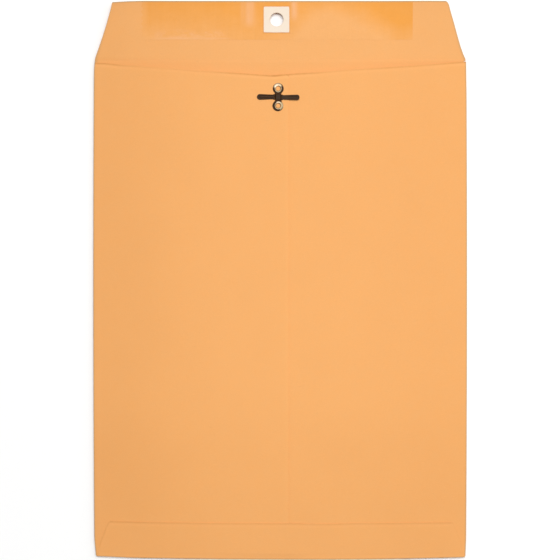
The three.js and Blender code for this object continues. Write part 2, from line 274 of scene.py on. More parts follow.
# ---- material helpers ----------------------------------------------------------------
class Graph:
    def __init__(self, name):
        self.material = bpy.data.materials.new(name)
        self.material.use_nodes = True
        self.tree = self.material.node_tree
        self.tree.nodes.clear()
        out = self.tree.nodes.new("ShaderNodeOutputMaterial")
        self.bsdf = self.tree.nodes.new("ShaderNodeBsdfPrincipled")
        self.tree.links.new(self.bsdf.outputs[0], out.inputs[0])

    def put(self, socket, value):
        if isinstance(value, bpy.types.NodeSocket):
            self.tree.links.new(value, socket)
        else:
            socket.default_value = value

    def math(self, op, a, b=0.0, clamp=False):
        node = self.tree.nodes.new("ShaderNodeMath")
        node.operation, node.use_clamp = op, clamp
        self.put(node.inputs[0], a)
        self.put(node.inputs[1], b)
        return node.outputs[0]

    def ramp(self, value, a, b, lo=0.0, hi=1.0, smooth=True):
        node = self.tree.nodes.new("ShaderNodeMapRange")
        node.interpolation_type = "SMOOTHSTEP" if smooth else "LINEAR"
        for k, v in enumerate((value, a, b, lo, hi)):
            self.put(node.inputs[k], v)
        return node.outputs[0]

    def mix(self, factor, a, b, blend="MIX"):
        node = self.tree.nodes.new("ShaderNodeMix")
        node.data_type, node.blend_type = "RGBA", blend
        self.put(node.inputs[0], factor)
        for k, v in ((6, a), (7, b)):
            self.put(node.inputs[k], v if isinstance(v, bpy.types.NodeSocket) else (*v, 1.0))
        return node.outputs[2]

    def scaled(self, colour, value):
        node = self.tree.nodes.new("ShaderNodeVectorMath")
        node.operation = "SCALE"
        self.put(node.inputs[0], colour)
        self.put(node.inputs[3], value)
        return node.outputs[0]

    def dimmed(self, colour, shade):
        """Darker by shade, and browner with it."""
        node = self.tree.nodes.new("ShaderNodeCombineXYZ")
        for k, f in enumerate((1.0, 1.3, 1.75)):
            self.put(node.inputs[k], self.math("SUBTRACT", 1.0, self.math("MULTIPLY", shade, f)))
        out = self.tree.nodes.new("ShaderNodeVectorMath")
        out.operation = "MULTIPLY"
        self.put(out.inputs[0], colour)
        self.put(out.inputs[1], node.outputs[0])
        return out.outputs[0]

    def attribute(self, name):
        node = self.tree.nodes.new("ShaderNodeAttribute")
        node.attribute_name = name
        return node

    def place(self, name="rest_place"):
        return self.attribute(name).outputs["Vector"]

    def turned(self, vector, angle, scale):
        node = self.tree.nodes.new("ShaderNodeMapping")
        self.put(node.inputs["Vector"], vector)
        node.inputs["Rotation"].default_value = (0, 0, angle)
        node.inputs["Scale"].default_value = scale
        return node.outputs[0]

    def noise(self, vector, scale, detail=2.0, rough=0.5, distort=0.0):
        node = self.tree.nodes.new("ShaderNodeTexNoise")
        self.put(node.inputs["Vector"], vector)
        node.inputs["Scale"].default_value = scale
        node.inputs["Detail"].default_value = detail
        node.inputs["Roughness"].default_value = rough
        node.inputs["Distortion"].default_value = distort
        return node.outputs[0]

    def axes(self, vector):
        node = self.tree.nodes.new("ShaderNodeSeparateXYZ")
        self.put(node.inputs[0], vector)
        return node.outputs

    def height(self, value, strength, distance):
        node = self.tree.nodes.new("ShaderNodeBump")
        node.inputs["Strength"].default_value = strength
        node.inputs["Distance"].default_value = distance
        self.put(node.inputs["Height"], value)
        self.put(self.bsdf.inputs["Normal"], node.outputs[0])

    def product(self, *values):
        out = values[0]
        for v in values[1:]:
            out = self.math("MULTIPLY", out, v)
        return out

    def total(self, *values):
        out = values[0]
        for v in values[1:]:
            out = self.math("ADD", out, v)
        return out

    def gauss(self, value, centre, width):
        t = self.math("DIVIDE", self.math("SUBTRACT", value, centre), width)
        return self.math("EXPONENT", self.math("MULTIPLY", self.math("MULTIPLY", t, t), -1.0))


def paper_texture(g, v):
    """Brightness factor, warmth and relief of kraft paper: cloudy formation, flecks and fibres."""
    cloud = g.ramp(g.noise(v, 34, 3, 0.55), 0.3, 0.7, -1, 1, False)
    blotch = g.ramp(g.noise(v, 190, 3, 0.6), 0.3, 0.7, -1, 1, False)
    fine = g.ramp(g.noise(v, 1500, 3, 0.6), 0.3, 0.7, -1, 1, False)
    light, dark = [], []
    for k, angle in enumerate((0.35, 1.45, 2.6)):
        a = g.noise(g.turned(v, angle, (1, 9, 1)), 330 + 40 * k, 2, 0.5, 0.6)
        light.append(g.ramp(a, 0.66, 0.78))
        b = g.noise(g.turned(v, angle + 0.7, (1, 12, 1)), 260 + 50 * k, 2, 0.5, 0.8)
        dark.append(g.ramp(b, 0.68, 0.8))
    light, dark = g.total(*light), g.total(*dark)
    tone = g.total(1.0, g.math("MULTIPLY", cloud, 0.008), g.math("MULTIPLY", blotch, 0.010),
                   g.math("MULTIPLY", fine, 0.016), g.math("MULTIPLY", light, 0.05), g.math("MULTIPLY", dark, -0.07))
    relief = g.total(g.math("MULTIPLY", fine, 0.5), g.math("MULTIPLY", blotch, 0.35), g.math("MULTIPLY", light, 0.5))
    return tone, blotch, relief


def set_plain(bsdf, **values):
    names = {"rough": "Roughness", "metal": "Metallic", "spec": "Specular IOR Level", "coat": "Coat Weight",
             "coat_rough": "Coat Roughness", "sheen": "Sheen Weight", "sheen_rough": "Sheen Roughness", "ior": "IOR"}
    for k, v in values.items():
        bsdf.inputs[names[k]].default_value = v


EDGE_SHADE_BROWN = (0.44, 0.315, 0.175)      # painted shade on folds and free edges


def kraft(name, base, warm, worn=True):
    g = Graph(name)
    v = g.place()
    tone, blotch, relief = paper_texture(g, v)
    colour = g.mix(g.ramp(blotch, -1, 1, 0.0, 1.0, False), base, warm)
    if worn:
        # painted shade along folds and free edges: the colour turns grey brown there
        edge_wear_and_shade = g.attribute("worn").outputs["Fac"]
        colour = g.mix(g.math("MULTIPLY", edge_wear_and_shade, g.ramp(g.noise(v, 700, 3, 0.6), 0.35, 0.75, 0.75, 1.0)), colour, EDGE_SHADE_BROWN)
        shade = g.attribute("shade").outputs["Fac"]
        # painted light along free edges: painted shade in a darker line at the edge, then a painted highlight where the
        # sheet curls down to it
        far, depth = g.attribute("to_edge").outputs["Fac"], g.attribute("edge_shade_depth").outputs["Fac"]
        line = g.math("SUBTRACT", g.ramp(far, 0.55, 1.2, 1.0, 0.0), g.math("MULTIPLY", g.gauss(far, 1.9, 0.6), 0.25))
        fleck = g.ramp(g.noise(v, 420, 3, 0.6), 0.3, 0.7, 0.75, 1.2, False)
        colour = g.dimmed(colour, g.math("ADD", shade, g.product(line, depth, fleck)))
    g.put(g.bsdf.inputs["Base Color"], g.scaled(colour, tone))
    g.put(g.bsdf.inputs["Roughness"], g.ramp(blotch, -1, 1, 0.78, 0.88, False))
    set_plain(g.bsdf, spec=0.25, sheen=0.04, sheen_rough=0.5)
    g.height(relief, 0.25, 0.00006)
    return g.material


OUTSIDE, OUTSIDE_WARM = (0.853, 0.407, 0.1375), (0.846, 0.397, 0.1305)
INSIDE, INSIDE_WARM = (0.858, 0.419, 0.1475), (0.850, 0.409, 0.1405)
kraft_out = kraft("kraft_outside", OUTSIDE, OUTSIDE_WARM)
kraft_in = kraft("kraft_inside", INSIDE, INSIDE_WARM)


def inside_of_flap():
    """The flap's inner face, with the painted shade of flap_marks laid over it."""
    g = Graph("kraft_flap")
    v = g.place()
    tone, blotch, relief = paper_texture(g, v)
    colour = g.mix(g.ramp(blotch, -1, 1, 0.0, 1.0, False), INSIDE, INSIDE_WARM)
    # painted shade: grey brown along the flap's side and top edges, then darker towards its ends, along its edges and
    # in its crease
    colour = g.mix(g.attribute("worn").outputs["Fac"], colour, EDGE_SHADE_BROWN)
    colour = g.dimmed(colour, g.attribute("shade").outputs["Fac"])
    g.put(g.bsdf.inputs["Base Color"], g.scaled(colour, tone))
    g.put(g.bsdf.inputs["Roughness"], g.ramp(blotch, -1, 1, 0.78, 0.88, False))
    set_plain(g.bsdf, spec=0.25, sheen=0.04, sheen_rough=0.5)
    g.height(relief, 0.25, 0.00006)
    return g.material


def dried_gum():
    """A film of dried gum: deep and even at the top edge, thin and patchy towards its lower edge,
    with painted sheen: a few whitish streaks and pale dabs where the glossy gum would catch the light."""
    g = Graph("dried_gum")
    v = g.place("on_flap")
    x, d, _ = g.axes(v)
    tone, blotch, relief = paper_texture(g, g.place())
    smear = g.ramp(g.noise(g.turned(v, 0.0, (0.5, 1, 1)), 95, 4, 0.6, 0.7), 0.3, 0.7, -1, 1, False)
    drag = g.ramp(g.noise(g.turned(v, 0.0, (1, 0.09, 1)), 420, 3, 0.6), 0.3, 0.7, -1, 1, False)
    amount = g.total(g.attribute("gum_depth_and_sheen").outputs["Fac"], g.math("MULTIPLY", smear, 0.12), g.math("MULTIPLY", drag, 0.05))
    amount = g.math("MULTIPLY", amount, g.ramp(x, -0.0843, -0.0795, 0.5, 1.0), True)
    colour = g.mix(amount, INSIDE, (0.832, 0.338, 0.053))
    # painted sheen: whitish streaks on the cockles and pale dabs along the lower edge, where the glossy gum would catch
    # the light
    cockle_painted_sheen = g.total(
        g.product(g.gauss(x, -0.0186, 0.0031), g.ramp(d, 0.017, 0.024), 0.95),
        g.product(g.gauss(x, 0.0086, 0.0021), g.ramp(d, 0.021, 0.028), 1.1),
        g.product(g.gauss(x, -0.0232, 0.0010), g.ramp(d, 0.019, 0.028), 0.35))
    cockle_painted_sheen = g.math("MULTIPLY", cockle_painted_sheen, g.ramp(drag, -1, 1, 0.6, 1.1, False))
    dab = g.ramp(g.noise(g.turned(v, 0.15, (1, 1.6, 1)), 160, 3, 0.6, 0.5), 0.40, 0.62)
    edge = g.total(g.product(g.gauss(d, 0.0146, 0.0026), g.ramp(x, -0.080, -0.072), g.ramp(x, -0.040, -0.028, 1.0, 0.0), dab, 0.6),
                   g.product(g.gauss(d, 0.0125, 0.0006), g.ramp(x, -0.080, -0.072), g.ramp(x, -0.036, -0.026, 1.0, 0.0), 0.5))
    painted_highlight = g.math("ADD", cockle_painted_sheen, edge, True)
    colour = g.mix(g.math("MULTIPLY", painted_highlight, 0.85), colour, (0.872, 0.448, 0.207))
    # painted shade: a brown line around the patch, strongest below it
    px = g.math("SUBTRACT", g.math("ABSOLUTE", g.math("SUBTRACT", x, PATCH_X / 1000)), PATCH_S / 2000)
    py = g.math("SUBTRACT", g.math("ABSOLUTE", g.math("SUBTRACT", d, PATCH_D / 1000)), PATCH_S / 2000)
    far = g.math("MAXIMUM", px, py)
    low = g.ramp(d, 0.0155, 0.0165, 1.0, 0.55)
    patch_painted_shade = g.product(g.ramp(far, 0.0002, 0.0010, 1.0, 0.0), low, g.ramp(smear, -1, 1, 0.7, 1.0, False))
    colour = g.mix(g.math("MULTIPLY", patch_painted_shade, 0.6), colour, (0.60, 0.23, 0.055))
    # painted shade: grey brown along the flap's edges, and darker towards its ends
    colour = g.mix(g.attribute("worn").outputs["Fac"], colour, EDGE_SHADE_BROWN)
    colour = g.dimmed(colour, g.attribute("shade").outputs["Fac"])
    g.put(g.bsdf.inputs["Base Color"], g.scaled(colour, tone))
    g.put(g.bsdf.inputs["Roughness"], g.ramp(g.math("ADD", amount, g.math("MULTIPLY", smear, 0.1)), 0, 1, 0.75, 0.6, False))
    set_plain(g.bsdf, spec=0.2)
    g.height(g.total(g.math("MULTIPLY", relief, 0.4), g.math("MULTIPLY", drag, 0.5), smear), 0.3, 0.00008)
    return g.material


def patch_paper():
    """Cream reinforcement paper, a little darker where the punch pressed its hole."""
    g = Graph("white_patch")
    v = g.place("on_flap")
    x, d, _ = g.axes(v)
    tone, blotch, relief = paper_texture(g, g.place())
    dx = g.math("SUBTRACT", x, HOLE_X / 1000)
    dy = g.math("SUBTRACT", d, HOLE_D / 1000)
    r = g.math("SQRT", g.math("ADD", g.math("MULTIPLY", dx, dx), g.math("MULTIPLY", dy, dy)))
    px = g.math("SUBTRACT", PATCH_S / 2000, g.math("ABSOLUTE", g.math("SUBTRACT", x, PATCH_X / 1000)))
    py = g.math("SUBTRACT", PATCH_S / 2000, g.math("ABSOLUTE", g.math("SUBTRACT", d, PATCH_D / 1000)))
    rim = g.ramp(g.math("MINIMUM", px, py), 0.0, 0.0006, 1.0, 0.0)
    ring = g.ramp(r, 0.0041, 0.0048, 1.0, 0.0)
    stain = g.ramp(g.noise(v, 240, 3, 0.6), 0.45, 0.8)
    colour = g.mix(g.math("ADD", g.math("MULTIPLY", rim, 0.35), g.math("MULTIPLY", stain, 0.12)), (0.862, 0.732, 0.592), (0.84, 0.61, 0.40))
    colour = g.mix(g.math("MULTIPLY", ring, 0.35), colour, (0.70, 0.52, 0.38))
    g.put(g.bsdf.inputs["Base Color"], g.scaled(colour, g.ramp(tone, 0.9, 1.1, 0.95, 1.05, False)))
    g.put(g.bsdf.inputs["Roughness"], g.ramp(blotch, -1, 1, 0.62, 0.74, False))
    set_plain(g.bsdf, spec=0.3)
    g.height(relief, 0.15, 0.00005)
    return g.material


def glue_film():
    g = Graph("glue")
    v = g.place()
    lump = g.noise(v, 300, 3, 0.6)
    g.put(g.bsdf.inputs["Base Color"], g.mix(lump, (0.70, 0.52, 0.30), (0.82, 0.68, 0.46)))
    g.put(g.bsdf.inputs["Roughness"], g.ramp(lump, 0.3, 0.7, 0.35, 0.6))
    g.height(lump, 0.3, 0.00004)
    return g.material


def dark_metal():
    """Bronzed sheet metal: dark lacquer, browner and brighter where the edges rubbed."""
    g = Graph("clasp_dark")
    v = g.place()
    worn = g.attribute("worn").outputs["Fac"]
    blot = g.noise(v, 900, 3, 0.6)
    grain = g.noise(g.turned(v, 0.0, (1, 14, 1)), 1400, 2, 0.5)
    colour = g.mix(g.ramp(blot, 0.35, 0.7), (0.041, 0.0195, 0.0065), (0.034, 0.0195, 0.0115))
    colour = g.mix(g.math("MULTIPLY", worn, g.ramp(blot, 0.3, 0.7, 0.5, 1.0)), colour, (0.072, 0.022, 0.004))
    g.put(g.bsdf.inputs["Base Color"], colour)
    g.put(g.bsdf.inputs["Roughness"], g.ramp(grain, 0.3, 0.7, 0.36, 0.48))
    set_plain(g.bsdf, metal=0.12, spec=0.06)
    g.height(g.total(g.math("MULTIPLY", grain, 0.6), blot), 0.15, 0.00003)
    return g.material


def bright_metal():
    """Rolled brass eyelet: painted highlights and painted shade, laid on by where each point lies on the rim, stand in
    for its reflections.
    """
    g = Graph("eyelet_bright")
    v = g.place()
    blot = g.noise(v, 1200, 3, 0.6)
    ring = g.noise(g.turned(v, 0.4, (6, 1, 1)), 900, 2, 0.5)
    worn, painted_highlight = g.attribute("worn").outputs["Fac"], g.attribute("painted_highlight").outputs["Fac"]
    colour = g.mix(g.ramp(blot, 0.3, 0.7), (0.40, 0.285, 0.145), (0.33, 0.25, 0.135))
    colour = g.mix(painted_highlight, colour, (0.85, 0.66, 0.46))
    colour = g.mix(worn, colour, (0.058, 0.024, 0.008))
    g.put(g.bsdf.inputs["Base Color"], colour)
    g.put(g.bsdf.inputs["Roughness"], g.ramp(ring, 0.3, 0.7, 0.34, 0.46))
    set_plain(g.bsdf, metal=0.3, spec=0.2)
    g.height(ring, 0.12, 0.00003)
    return g.material


kraft_flap = inside_of_flap()
gum_mat, patch_mat, glue_mat = dried_gum(), patch_paper(), glue_film()
dark_mat, bright_mat = dark_metal(), bright_metal()

# ---- front panel ---------------------------------------------------------------------
CREASE = 0.004                   # depth of the pressed groove


def crease_painted_shade(x, y):
    """Painted shade in the crease of the flap."""
    return (0.014 + 0.022 * sstep(-40, -95, x)) * bump(y, FOLD_Y - 0.1, 1.0)


BASE_X = joined(spread(-112.3, -9.5, 2.1), spread(-9.5, 9.5, 1.6), spread(9.5, 112.3, 2.1))


def painted_light_falloff(x, y):
    """Painted fall-off of the light: darker towards the left, the right and the bottom."""
    return 0.055 * sstep(-20, -105, x) + 0.028 * sstep(40, 105, x) + 0.032 * sstep(-60, -118, y)


def paper_marks(obj, extra=None):
    """Painted shade along folds and free edges, the painted fall-off of the light towards the outer parts, and the
    painted shade of pressed lines, from where each point lies.
    """
    co = coords(obj) * 1000
    edge = np.clip(np.abs(side(co[:, 0], co[:, 1])) - np.abs(co[:, 0]), 0, None)
    low = np.clip(co[:, 1] - bottom_y(co[:, 0]), 0, None)
    edge_wear_and_shade = 0.85 * np.maximum(np.exp(-(edge / 0.5) ** 2), np.exp(-(low / 0.45) ** 2))
    shade = painted_light_falloff(co[:, 0], co[:, 1]) + 0.02 * np.exp(-edge / 0.8)
    if extra is not None:
        edge_wear_and_shade, shade = extra(co, edge_wear_and_shade, shade)
    store(obj, "worn", np.clip(edge_wear_and_shade, 0, 1))
    store(obj, "shade", np.clip(shade, -1, 1))


rows = joined(spread(0.7, 4, 0.55), spread(4, 60, 2.3), spread(60, 240, 5.0), spread(240, 296, 2.5),
              spread(296, 303.9, 0.8))
width = np.concatenate([[0], BASE_X, [0]])
grid = np.zeros((len(rows), len(width), 3))
for j, r in enumerate(rows):
    x = BASE_X.copy()
    t = (r - 0.7) / (303.9 - 0.7)
    y = (bottom_y(x) + 0.7) * (1 - t) + START_Y * t
    out_l = 114.25 if START_Y - y[0] < 2.0 else 112.35
    out_r = 114.25 if START_Y - y[-1] < 0.5 else 112.35
    xx = np.concatenate([[-out_l], x, [out_r]])
    yy = np.concatenate([[y[0]], y, [y[-1]]])
    grid[j, :, 0], grid[j, :, 1] = xx, yy
    grid[j, :, 2] = front_z(xx, yy) + PAPER / 2
grid[..., 2] -= CREASE * bump(grid[..., 1], FOLD_Y, 1.0)
front_last = warp(grid)[-1].copy()
front = thick_sheet("front_panel_paper", warp(grid))


def front_marks(co, edge_wear_and_shade, shade):
    # painted shade in the mouth of the pocket, most towards the left
    x, y = co[:, 0], co[:, 1]
    return edge_wear_and_shade, shade + (0.034 + 0.012 * sstep(20, 90, x) + 0.012 * sstep(-20, -90, x)) * sstep(115, 119, y) * sstep(134.4, 132.6, y) + crease_painted_shade(x, y)


paper_marks(front, front_marks)
place(front, "envelope_body", kraft_in, ["front_panel"])

# ---- back panels ---------------------------------------------------------------------
THROAT_L = np.array([[-114.3, 1.95], [-106.4, 2.3], [-102, 2.85], [-97.3, 3.5], [-91.2, 3.85], [-82, 4.6], [-72.9, 5.25],
                     [-60.7, 6.25], [-48.5, 7.2], [-36.3, 7.9], [-24.2, 8.7], [-18, 9.1], [-13, 9.55], [-9, 9.75],
                     [-4.6, 10.1], [-2.8, 10.05], [-1, 9.78], [0.8, 9.57], [5.2, 9.2]])
THROAT_R = np.array([[-5.6, 9.9], [5.2, 9.22], [12.4, 8.68], [21.5, 8.25], [30.7, 7.5], [39.8, 6.72], [49, 6.1], [61, 5.38],
                     [73.3, 4.58], [85.5, 3.75], [94.7, 2.95], [102.6, 2.15], [108.7, 1.6], [114.3, 1.3]])


def throat_y(x, table, soft=1.3):
    x = np.asarray(x, float)
    out = np.zeros_like(x)
    for o in np.linspace(-soft, soft, 9):
        out += np.interp(x + o, table[:, 0], table[:, 1]) / 9
    return FOLD_Y - out


def back_rows():
    low = joined(spread(0.7, 4, 0.6), spread(4, 60, 2.2))
    near = [1 - t / 235 for t in (2.6, 1.9, 1.4, 1.0, 0.7, 0.45, 0.2, 0)]
    return low, joined(spread(0, 0.80, 0.035), spread(0.80, 0.985, 0.0125), near)


def back_panel(name, xs, outer, table, lift_of, edge_of=None, corner=None):
    """xs runs over the flat part, from the seam edge outwards; outer is the side, -1 or 1."""
    arc = np.radians(np.linspace(90, 270, 13))
    px = np.concatenate([xs, outer * (HALF_W - 0.26 - 0.16 * np.cos(arc)), outer * np.array([113.6, 112.95, 112.35])])
    kind = np.concatenate([np.zeros(len(xs)), np.ones(len(arc)), np.full(3, 2.0)])
    sin = np.concatenate([np.zeros(len(xs)), np.sin(arc), np.zeros(3)])
    foot = np.where(kind == 0, px, outer * HALF_W)
    low, high = back_rows()
    y0 = bottom_y(foot)
    top = throat_y(foot, table)
    if corner is not None:
        top = top - np.where(kind == 0, corner(px), 0)
    lines = [y0 + r for r in low]
    base = y0 + low[-1]
    lines += [base + (top - base) * f for f in high[1:]]
    g = np.zeros((len(lines), len(px), 3))
    for j, y in enumerate(lines):
        xz = np.where(kind == 0, px, outer * HALF_W)
        fz = front_z(np.where(kind == 2, px, xz), y)
        edge_z = front_z(outer * HALF_W, y)
        upper = 5.0 - fz + waves(px, y) + lift_of(px, y)
        upper = upper - 0.09 * sstep(2.2, 0.0, top - y)
        lower = fz + 0.1
        mid = (5.0 - edge_z + edge_z + 0.1) / 2
        reach = (5.0 - edge_z) - mid
        z = np.where(kind == 0, upper, np.where(kind == 1, mid + reach * sin, lower))
        g[j, :, 0], g[j, :, 1], g[j, :, 2] = px, y, z
    if outer < 0:
        g = g[:, ::-1]
    obj = thick_sheet(name, warp(g))
    paper_marks(obj, edge_of)
    return obj


def left_lift(x, y):
    # the sheet rises over a long run to the edge that it hides
    return JOG * sstep(-52, -6, x) - 0.08 * sstep(3.6, 5.2, x)


def left_marks(co, edge_wear_and_shade, shade):
    # painted highlight just inside the seam's free edge, painted shade on the edge itself
    x = co[:, 0]
    return edge_wear_and_shade, shade - 0.006 * bump(x, 3.6, 1.3) + 0.010 * bump(x, 5.2, 0.4)


def right_marks(co, edge_wear_and_shade, shade):
    # painted shade just beside the seam's free edge that lies over this panel
    return edge_wear_and_shade, shade + 0.012 * bump(co[:, 0], 5.75, 0.6)


def edge_marks(obj, top_of, depth_of):
    """How far each point lies below its sheet's free edge, and how dark the painted shade along that edge is."""
    co = coords(obj) * 1000
    above = co[:, 2] > 2.6
    store(obj, "to_edge", np.where(above, top_of(co[:, 0]) - co[:, 1], 50))
    store(obj, "edge_shade_depth", np.where(above, depth_of(co[:, 0]), 0))


# depth of the painted shade along the throat's free edges
def throat_painted_shade(x):
    return (0.055 + 0.085 * sstep(-46, -24, x) * sstep(32, 14, x) + 0.06 * bump(x, -1, 9) + 0.035 * bump(x, 63, 9) + 0.03 * bump(x, 78, 8)
            + 0.06 * sstep(84, 104, np.abs(x)) + 0.03 * sstep(-98, -106, x) - 0.02 * bump(x, -78, 20))


def round_corner(x):
    u = np.clip((x - 4.0) / 1.2, 0, 1)
    return 1.2 * (1 - np.sqrt(1 - u * u))


xs_left = joined([5.2, 5.05, 4.85, 4.6, 4.3, 4.0, 3.4], spread(3.4, -5.4, 1.1), spread(-5.4, -9.0, 0.4), spread(-9.0, -110, 2.2),
                 spread(-110, -113.9, 0.65))
back_left = back_panel("back_panel_left_paper", xs_left, -1, THROAT_L, left_lift, left_marks, round_corner)


def right_lift(x, y):
    # the panel dips a little where the free edge above it presses
    return -0.06 * bump(x, 6.1, 1.2) - 0.05 * sstep(6.5, 4.6, x)


xs_right = joined(spread(-5.6, 4.4, 1.1), spread(4.4, 8.4, 0.4), spread(8.4, 110, 2.2), spread(110, 113.9, 0.65))
back_right = back_panel("back_panel_right_paper", xs_right, 1, THROAT_R, right_lift, right_marks)
holes = [(CLASP_X, CLASP_Y + s * PITCH, 5.1) for s in (1, -1)]
drill(back_left, holes, 1.8, 32)
drill(back_right, holes, 1.8, 32)
for obj, marks in ((back_left, left_marks), (back_right, right_marks)):
    for a in ("worn", "shade"):
        if a in obj.data.attributes:
            obj.data.attributes.remove(obj.data.attributes[a])
    paper_marks(obj, marks)
edge_marks(back_left, lambda x: throat_y(x, THROAT_L) - round_corner(x), throat_painted_shade)
edge_marks(back_right, lambda x: throat_y(x, THROAT_R), throat_painted_shade)
place(back_left, "envelope_body", kraft_out, ["back_panel_left"])
place(back_right, "envelope_body", kraft_out, ["back_panel_right"])

# ---- bottom flap ---------------------------------------------------------------------
ENDS_D = np.array([0, 0.45, 1.0, 8.8, 10.7, 14.4, 17.5, 19.6, 21.2, 22.2])
ENDS_L = np.array([-114.0, -113.9, -113.3, -111.0, -110.1, -108.5, -107.5, -106.4, -105.5, -104.2])
ENDS_R = np.array([114.0, 113.9, 113.3, 111.6, 110.9, 109.4, 108.2, 107.3, 106.6, 105.6])


def bottom_step(x):
    return JOG * np.minimum(sstep(-54, -8, x), sstep(22, 5.4, x))


def flap_top(x):
    x = np.asarray(x, float)
    uneven = np.interp(x, [-113, -80, -20, 5, 12, 18, 33, 43, 85, 102], [0.15, 0.2, 0.27, 0.3, 0.15, -0.1, -0.1, 0.22, 0.2, 0.05])
    return -148.72 + np.where(x < 0, 1.2e-4, 0.6e-4) * x ** 2 + uneven


def over_panels(x, y):
    return 5.34 - front_z(x, y) + bottom_step(x) * sstep(0.2, 4.0, y - bottom_y(x))


xs = joined(spread(-113.2, -95, 1.4), spread(-95, -10.5, 2.4), spread(-10.5, 10.5, 0.5), spread(10.5, 95, 2.4), spread(95, 113.2, 1.4))
arc = np.radians(np.linspace(270, 90, 15))
path = [("low", 0.7), ("low", 0.55)] + [("arc", a) for a in arc] + \
       [("top", f) for f in joined(spread(0.01, 0.25, 0.018), spread(0.25, 0.90, 0.04), spread(0.90, 1.0, 0.0125))]
grid = np.zeros((len(path), len(xs), 3))
for j, (kind, v) in enumerate(path):
    if kind == "top":
        nominal = 0.43 + v * (22.0 - 0.43)
    else:
        nominal = 0.3
    a, b = np.interp(nominal, ENDS_D, ENDS_L), np.interp(nominal, ENDS_D, ENDS_R)
    x = np.where(xs < -95, -95 + (xs + 95) * (a + 95) / (-113.2 + 95), np.where(xs > 95, 95 + (xs - 95) * (b - 95) / (113.2 - 95), xs))
    y0 = bottom_y(x)
    if kind == "low":
        y = y0 + v
        z = front_z(x, y) + 0.1
    elif kind == "arc":
        zc, zt = front_z(x, y0) + 0.1, 5.34 - front_z(x, y0)
        mid, reach = (zc + zt) / 2, (zt - zc) / 2
        y = y0 + 0.43 - 0.33 * abs(math.cos(v))
        z = mid + reach * math.sin(v)
    else:
        start = y0 + 0.43
        y = start + (flap_top(x) - start) * v
        d = y - y0
        z = over_panels(x, y)
        z = z - 0.03 * bump(d, 3.0, 0.7) + 0.02 * bump(d, 1.3, 0.8)           # pressed line above the fold
        end = np.minimum(x - a, b - x)
        z = z - 0.03 * sstep(1.2, 0, end)
    grid[j, :, 0], grid[j, :, 1], grid[j, :, 2] = x, y, z
bottom = thick_sheet("bottom_flap_paper", warp(grid))


def bottom_marks(co, edge_wear_and_shade, shade):
    x, y = co[:, 0], co[:, 1]
    d = y - bottom_y(x)
    # painted shade on the pressed line above the fold, and a painted highlight just below it
    return edge_wear_and_shade, shade + 0.010 * bump(d, 3.0, 0.6) - 0.008 * bump(d, 1.0, 0.7)


paper_marks(bottom, bottom_marks)
co = coords(bottom) * 1000
above = co[:, 2] > 2.6
from_top = flap_top(co[:, 0]) - co[:, 1]
at = co[:, 1] - bottom_y(co[:, 0])
squeeze = side(co[:, 0], co[:, 1]) / HALF_W
from_end = np.where(co[:, 0] < 0, co[:, 0] - np.interp(at, ENDS_D, ENDS_L) * squeeze, np.interp(at, ENDS_D, ENDS_R) * squeeze - co[:, 0])
from_end = from_end + 3 * sstep(7, 2, at)
store(bottom, "to_edge", np.where(above, np.minimum(from_top, from_end), 50))
# depth of the painted shade along the bottom flap's top edge and its ends
along_top = 0.053 + 0.03 * sstep(-60, -95, co[:, 0])
along_end = np.where(co[:, 0] < 0, 0.045, 0.012)
store(bottom, "edge_shade_depth", np.where(above, np.where(from_end < from_top, along_end, along_top), 0))
place(bottom, "envelope_body", kraft_out, ["bottom_flap"])

# paste under it, following both sheets
X, V = np.meshgrid(joined(spread(-92, -10, 2.4), spread(-10, 10, 0.8), spread(10, 92, 2.4)), np.linspace(4.3, 18.9, 14))
Y = bottom_y(X) + V + 0.25 * np.sin(X / 5.1) * (np.abs(V - 11.6) > 7) * np.sign(V - 11.6)
paste = thick_sheet("bottom_flap_paste", warp(np.stack([X, Y, over_panels(X, Y) - 0.14], -1)), 0.05)
place(paste, "envelope_body", glue_mat, ["bottom_flap_glue"])

# ---- seal flap -----------------------------------------------------------------------
COS, SIN, TAN = math.cos(LIFT), math.sin(LIFT), math.tan(LIFT / 2)


def flap_raise(x):
    return (1 - shoulder(np.clip(np.abs(x) / 0.9925, 0, HALF_W))) * RAISE


def cockle(x, d):
    """Slight waves that the dried gum pulls into the flap; flat under the patch."""
    w = (0.07 * np.sin(x / 6.1 + 0.7) + 0.05 * np.sin(x / 3.3 + d / 9 + 2.1) + 0.10 * np.sin(x / 17 + 1.2)
         + 0.16 * bump(x, -19.0, 3.2) + 0.10 * bump(x, 9.0, 2.4))
    return w * sstep(6, 20, d) * (1 - 0.95 * bump(x, PATCH_X, 8.5)) * sstep(0, 14, 104 - np.abs(x)) + 0.35 * sstep(26, 36, d) * sstep(30, 104, np.abs(x))


def on_flap(x, d, above):
    """Point of the flap d from the axis, above its underside."""
    z = flap_raise(x) + cockle(x, d) + above
    return np.stack([x, AXIS_Y + d * COS + (AXIS_Z - z) * SIN, AXIS_Z - (AXIS_Z - z) * COS + d * SIN], -1)


def top_edge(x):
    return FLAP_D - 0.9 * np.clip((-x - 80) / 22, 0, None) ** 2 - 0.15 * np.clip((x - 80) / 22, 0, None) ** 2


